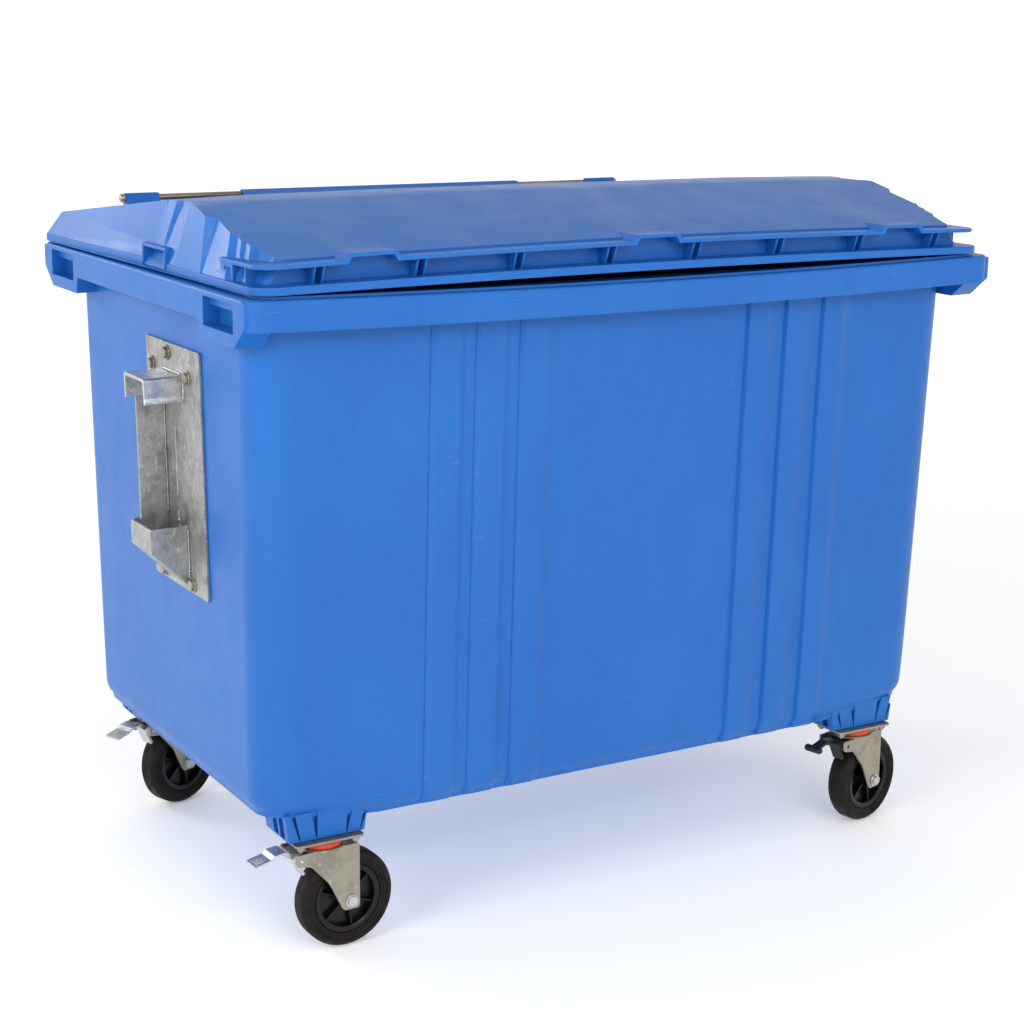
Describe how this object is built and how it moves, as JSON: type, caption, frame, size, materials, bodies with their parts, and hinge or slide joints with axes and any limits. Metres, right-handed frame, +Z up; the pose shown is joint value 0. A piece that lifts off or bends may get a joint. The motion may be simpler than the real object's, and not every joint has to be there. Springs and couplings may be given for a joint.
{
  "type": "four-wheeled waste container",
  "caption": "Large moulded plastic waste container with a hinged roof-shaped lid, side lifting brackets and braked swivel casters.",
  "frame": {"origin": "on the floor under the middle of the object's box", "axes": "+Z up, +X along the length, to the right as seen from the front, and -Y towards the front, where the lid has its ledge"},
  "size_m": [1.4314, 0.9434, 1.155],
  "materials": {
    "blue_plastic": "moulded, satin, lightly scuffed",
    "galvanised_steel": "hot-dip galvanised",
    "zinc": "zinc plated",
    "steel_rod": "drawn, slightly tarnished",
    "orange_plastic": "moulded",
    "black_plastic": "moulded, satin",
    "black_paint": "black paint",
    "rubber": "solid rubber, dusty"
  },
  "bodies": {
    "tub": {"tub": "blue_plastic", "hinge_rod": "steel_rod", "rod_cap_left": "zinc", "rod_cap_right": "zinc", "bracket_left_plate": "galvanised_steel", "bracket_left_hook": "galvanised_steel", "bracket_left_cup": "galvanised_steel", "bracket_left_bolt_1": "zinc", "bracket_left_bolt_2": "zinc", "bracket_left_bolt_3": "zinc", "bracket_left_bolt_4": "zinc", "bracket_left_bolt_5": "zinc", "bracket_right_plate": "galvanised_steel", "bracket_right_hook": "galvanised_steel", "bracket_right_cup": "galvanised_steel", "bracket_right_bolt_1": "zinc", "bracket_right_bolt_2": "zinc", "bracket_right_bolt_3": "zinc", "bracket_right_bolt_4": "zinc", "bracket_right_bolt_5": "zinc", "plate_fl": "zinc", "seal_fl": "orange_plastic", "king_pin_fl": "zinc", "plate_fr": "zinc", "seal_fr": "orange_plastic", "king_pin_fr": "zinc", "plate_rl": "zinc", "seal_rl": "orange_plastic", "king_pin_rl": "zinc", "plate_rr": "zinc", "seal_rr": "orange_plastic", "king_pin_rr": "zinc"},
    "lid": {"lid": "blue_plastic"},
    "fork_fl": {"fork_fl": "zinc", "axle_bolt_fl": "zinc", "axle_nut_fl": "zinc"},
    "wheel_fl": {"hub_fl": "black_plastic", "tyre_fl": "rubber"},
    "brake_fl": {"brake_pedal_fl": "zinc"},
    "fork_fr": {"fork_fr": "zinc", "axle_bolt_fr": "zinc", "axle_nut_fr": "zinc"},
    "wheel_fr": {"hub_fr": "black_plastic", "tyre_fr": "rubber"},
    "brake_fr": {"brake_pedal_fr": "black_paint"},
    "fork_rl": {"fork_rl": "zinc", "axle_bolt_rl": "zinc", "axle_nut_rl": "zinc"},
    "wheel_rl": {"hub_rl": "black_plastic", "tyre_rl": "rubber"},
    "brake_rl": {"brake_pedal_rl": "zinc"},
    "fork_rr": {"fork_rr": "zinc", "axle_bolt_rr": "zinc", "axle_nut_rr": "zinc"},
    "wheel_rr": {"hub_rr": "black_plastic", "tyre_rr": "rubber"},
    "brake_rr": {"brake_pedal_rr": "zinc"}
  },
  "joints": [
    {"name": "lid_hinge", "type": "hinge", "parent": "tub", "child": "lid", "pos_m": [0, 0.45875, 1.104], "axis": [-1, 0, 0], "range_deg": [0, 270]},
    {"name": "swivel_fl", "type": "hinge", "parent": "tub", "child": "fork_fl", "pos_m": [-0.5287, -0.35425, 0.18], "axis": [0, 0, 1], "continuous": true},
    {"name": "wheel_spin_fl", "type": "hinge", "parent": "fork_fl", "child": "wheel_fl", "pos_m": [-0.48972, -0.35289, 0.08], "axis": [-0.0349, 0.9994, 0], "continuous": true},
    {"name": "brake_fl", "type": "hinge", "parent": "fork_fl", "child": "brake_fl", "pos_m": [-0.57467, -0.35586, 0.164], "axis": [0.0349, -0.9994, 0], "range_deg": [0, 14]},
    {"name": "swivel_fr", "type": "hinge", "parent": "tub", "child": "fork_fr", "pos_m": [0.5287, -0.35425, 0.18], "axis": [0, 0, 1], "continuous": true},
    {"name": "wheel_spin_fr", "type": "hinge", "parent": "fork_fr", "child": "wheel_fr", "pos_m": [0.56657, -0.34495, 0.08], "axis": [-0.2385, 0.9711, 0], "continuous": true},
    {"name": "brake_fr", "type": "hinge", "parent": "fork_fr", "child": "brake_fr", "pos_m": [0.48403, -0.36522, 0.164], "axis": [0.2385, -0.9711, 0], "range_deg": [0, 14]},
    {"name": "swivel_rl", "type": "hinge", "parent": "tub", "child": "fork_rl", "pos_m": [-0.5287, 0.32575, 0.18], "axis": [0, 0, 1], "continuous": true},
    {"name": "wheel_spin_rl", "type": "hinge", "parent": "fork_rl", "child": "wheel_rl", "pos_m": [-0.49246, 0.34017, 0.08], "axis": [-0.3697, 0.9291, 0], "continuous": true},
    {"name": "brake_rl", "type": "hinge", "parent": "fork_rl", "child": "brake_rl", "pos_m": [-0.57144, 0.30874, 0.164], "axis": [0.3697, -0.9291, 0], "range_deg": [0, 14]},
    {"name": "swivel_rr", "type": "hinge", "parent": "tub", "child": "fork_rr", "pos_m": [0.5287, 0.32575, 0.18], "axis": [0, 0, 1], "continuous": true},
    {"name": "wheel_spin_rr", "type": "hinge", "parent": "fork_rr", "child": "wheel_rr", "pos_m": [0.56732, 0.33118, 0.08], "axis": [-0.1392, 0.9903, 0], "continuous": true},
    {"name": "brake_rr", "type": "hinge", "parent": "fork_rr", "child": "brake_rr", "pos_m": [0.48315, 0.31935, 0.164], "axis": [0.1392, -0.9903, 0], "range_deg": [0, 14]}
  ]
}
